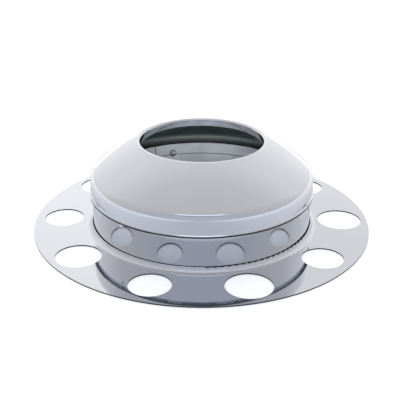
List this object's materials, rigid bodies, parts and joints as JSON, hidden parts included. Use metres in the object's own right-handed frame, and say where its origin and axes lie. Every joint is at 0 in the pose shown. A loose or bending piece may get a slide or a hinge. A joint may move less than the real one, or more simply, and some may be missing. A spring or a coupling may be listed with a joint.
{
  "type": "truck hub cover with hubodometer opening",
  "caption": "Chromed sheet-steel hub cover: flat flange ring with round stud holes and a drawn neck, and a domed cap over it with a round, lipped opening for a hubodometer.",
  "frame": {"origin": "on the cover's axis, in the plane of the flange's underside", "axes": "+Z along the axle's axis, outboard; +X through the middle of a large stud hole"},
  "size_m": [0.343, 0.343, 0.0896],
  "materials": {
    "flange_chrome": "bright chrome plate on pressed steel, mirror-like",
    "cap_chrome": "bright chrome plate on spun and pressed steel, mirror-like"
  },
  "bodies": {
    "root": {"flange_ring": "flange_chrome", "dome_cap": "cap_chrome"}
  },
  "joints": []
}
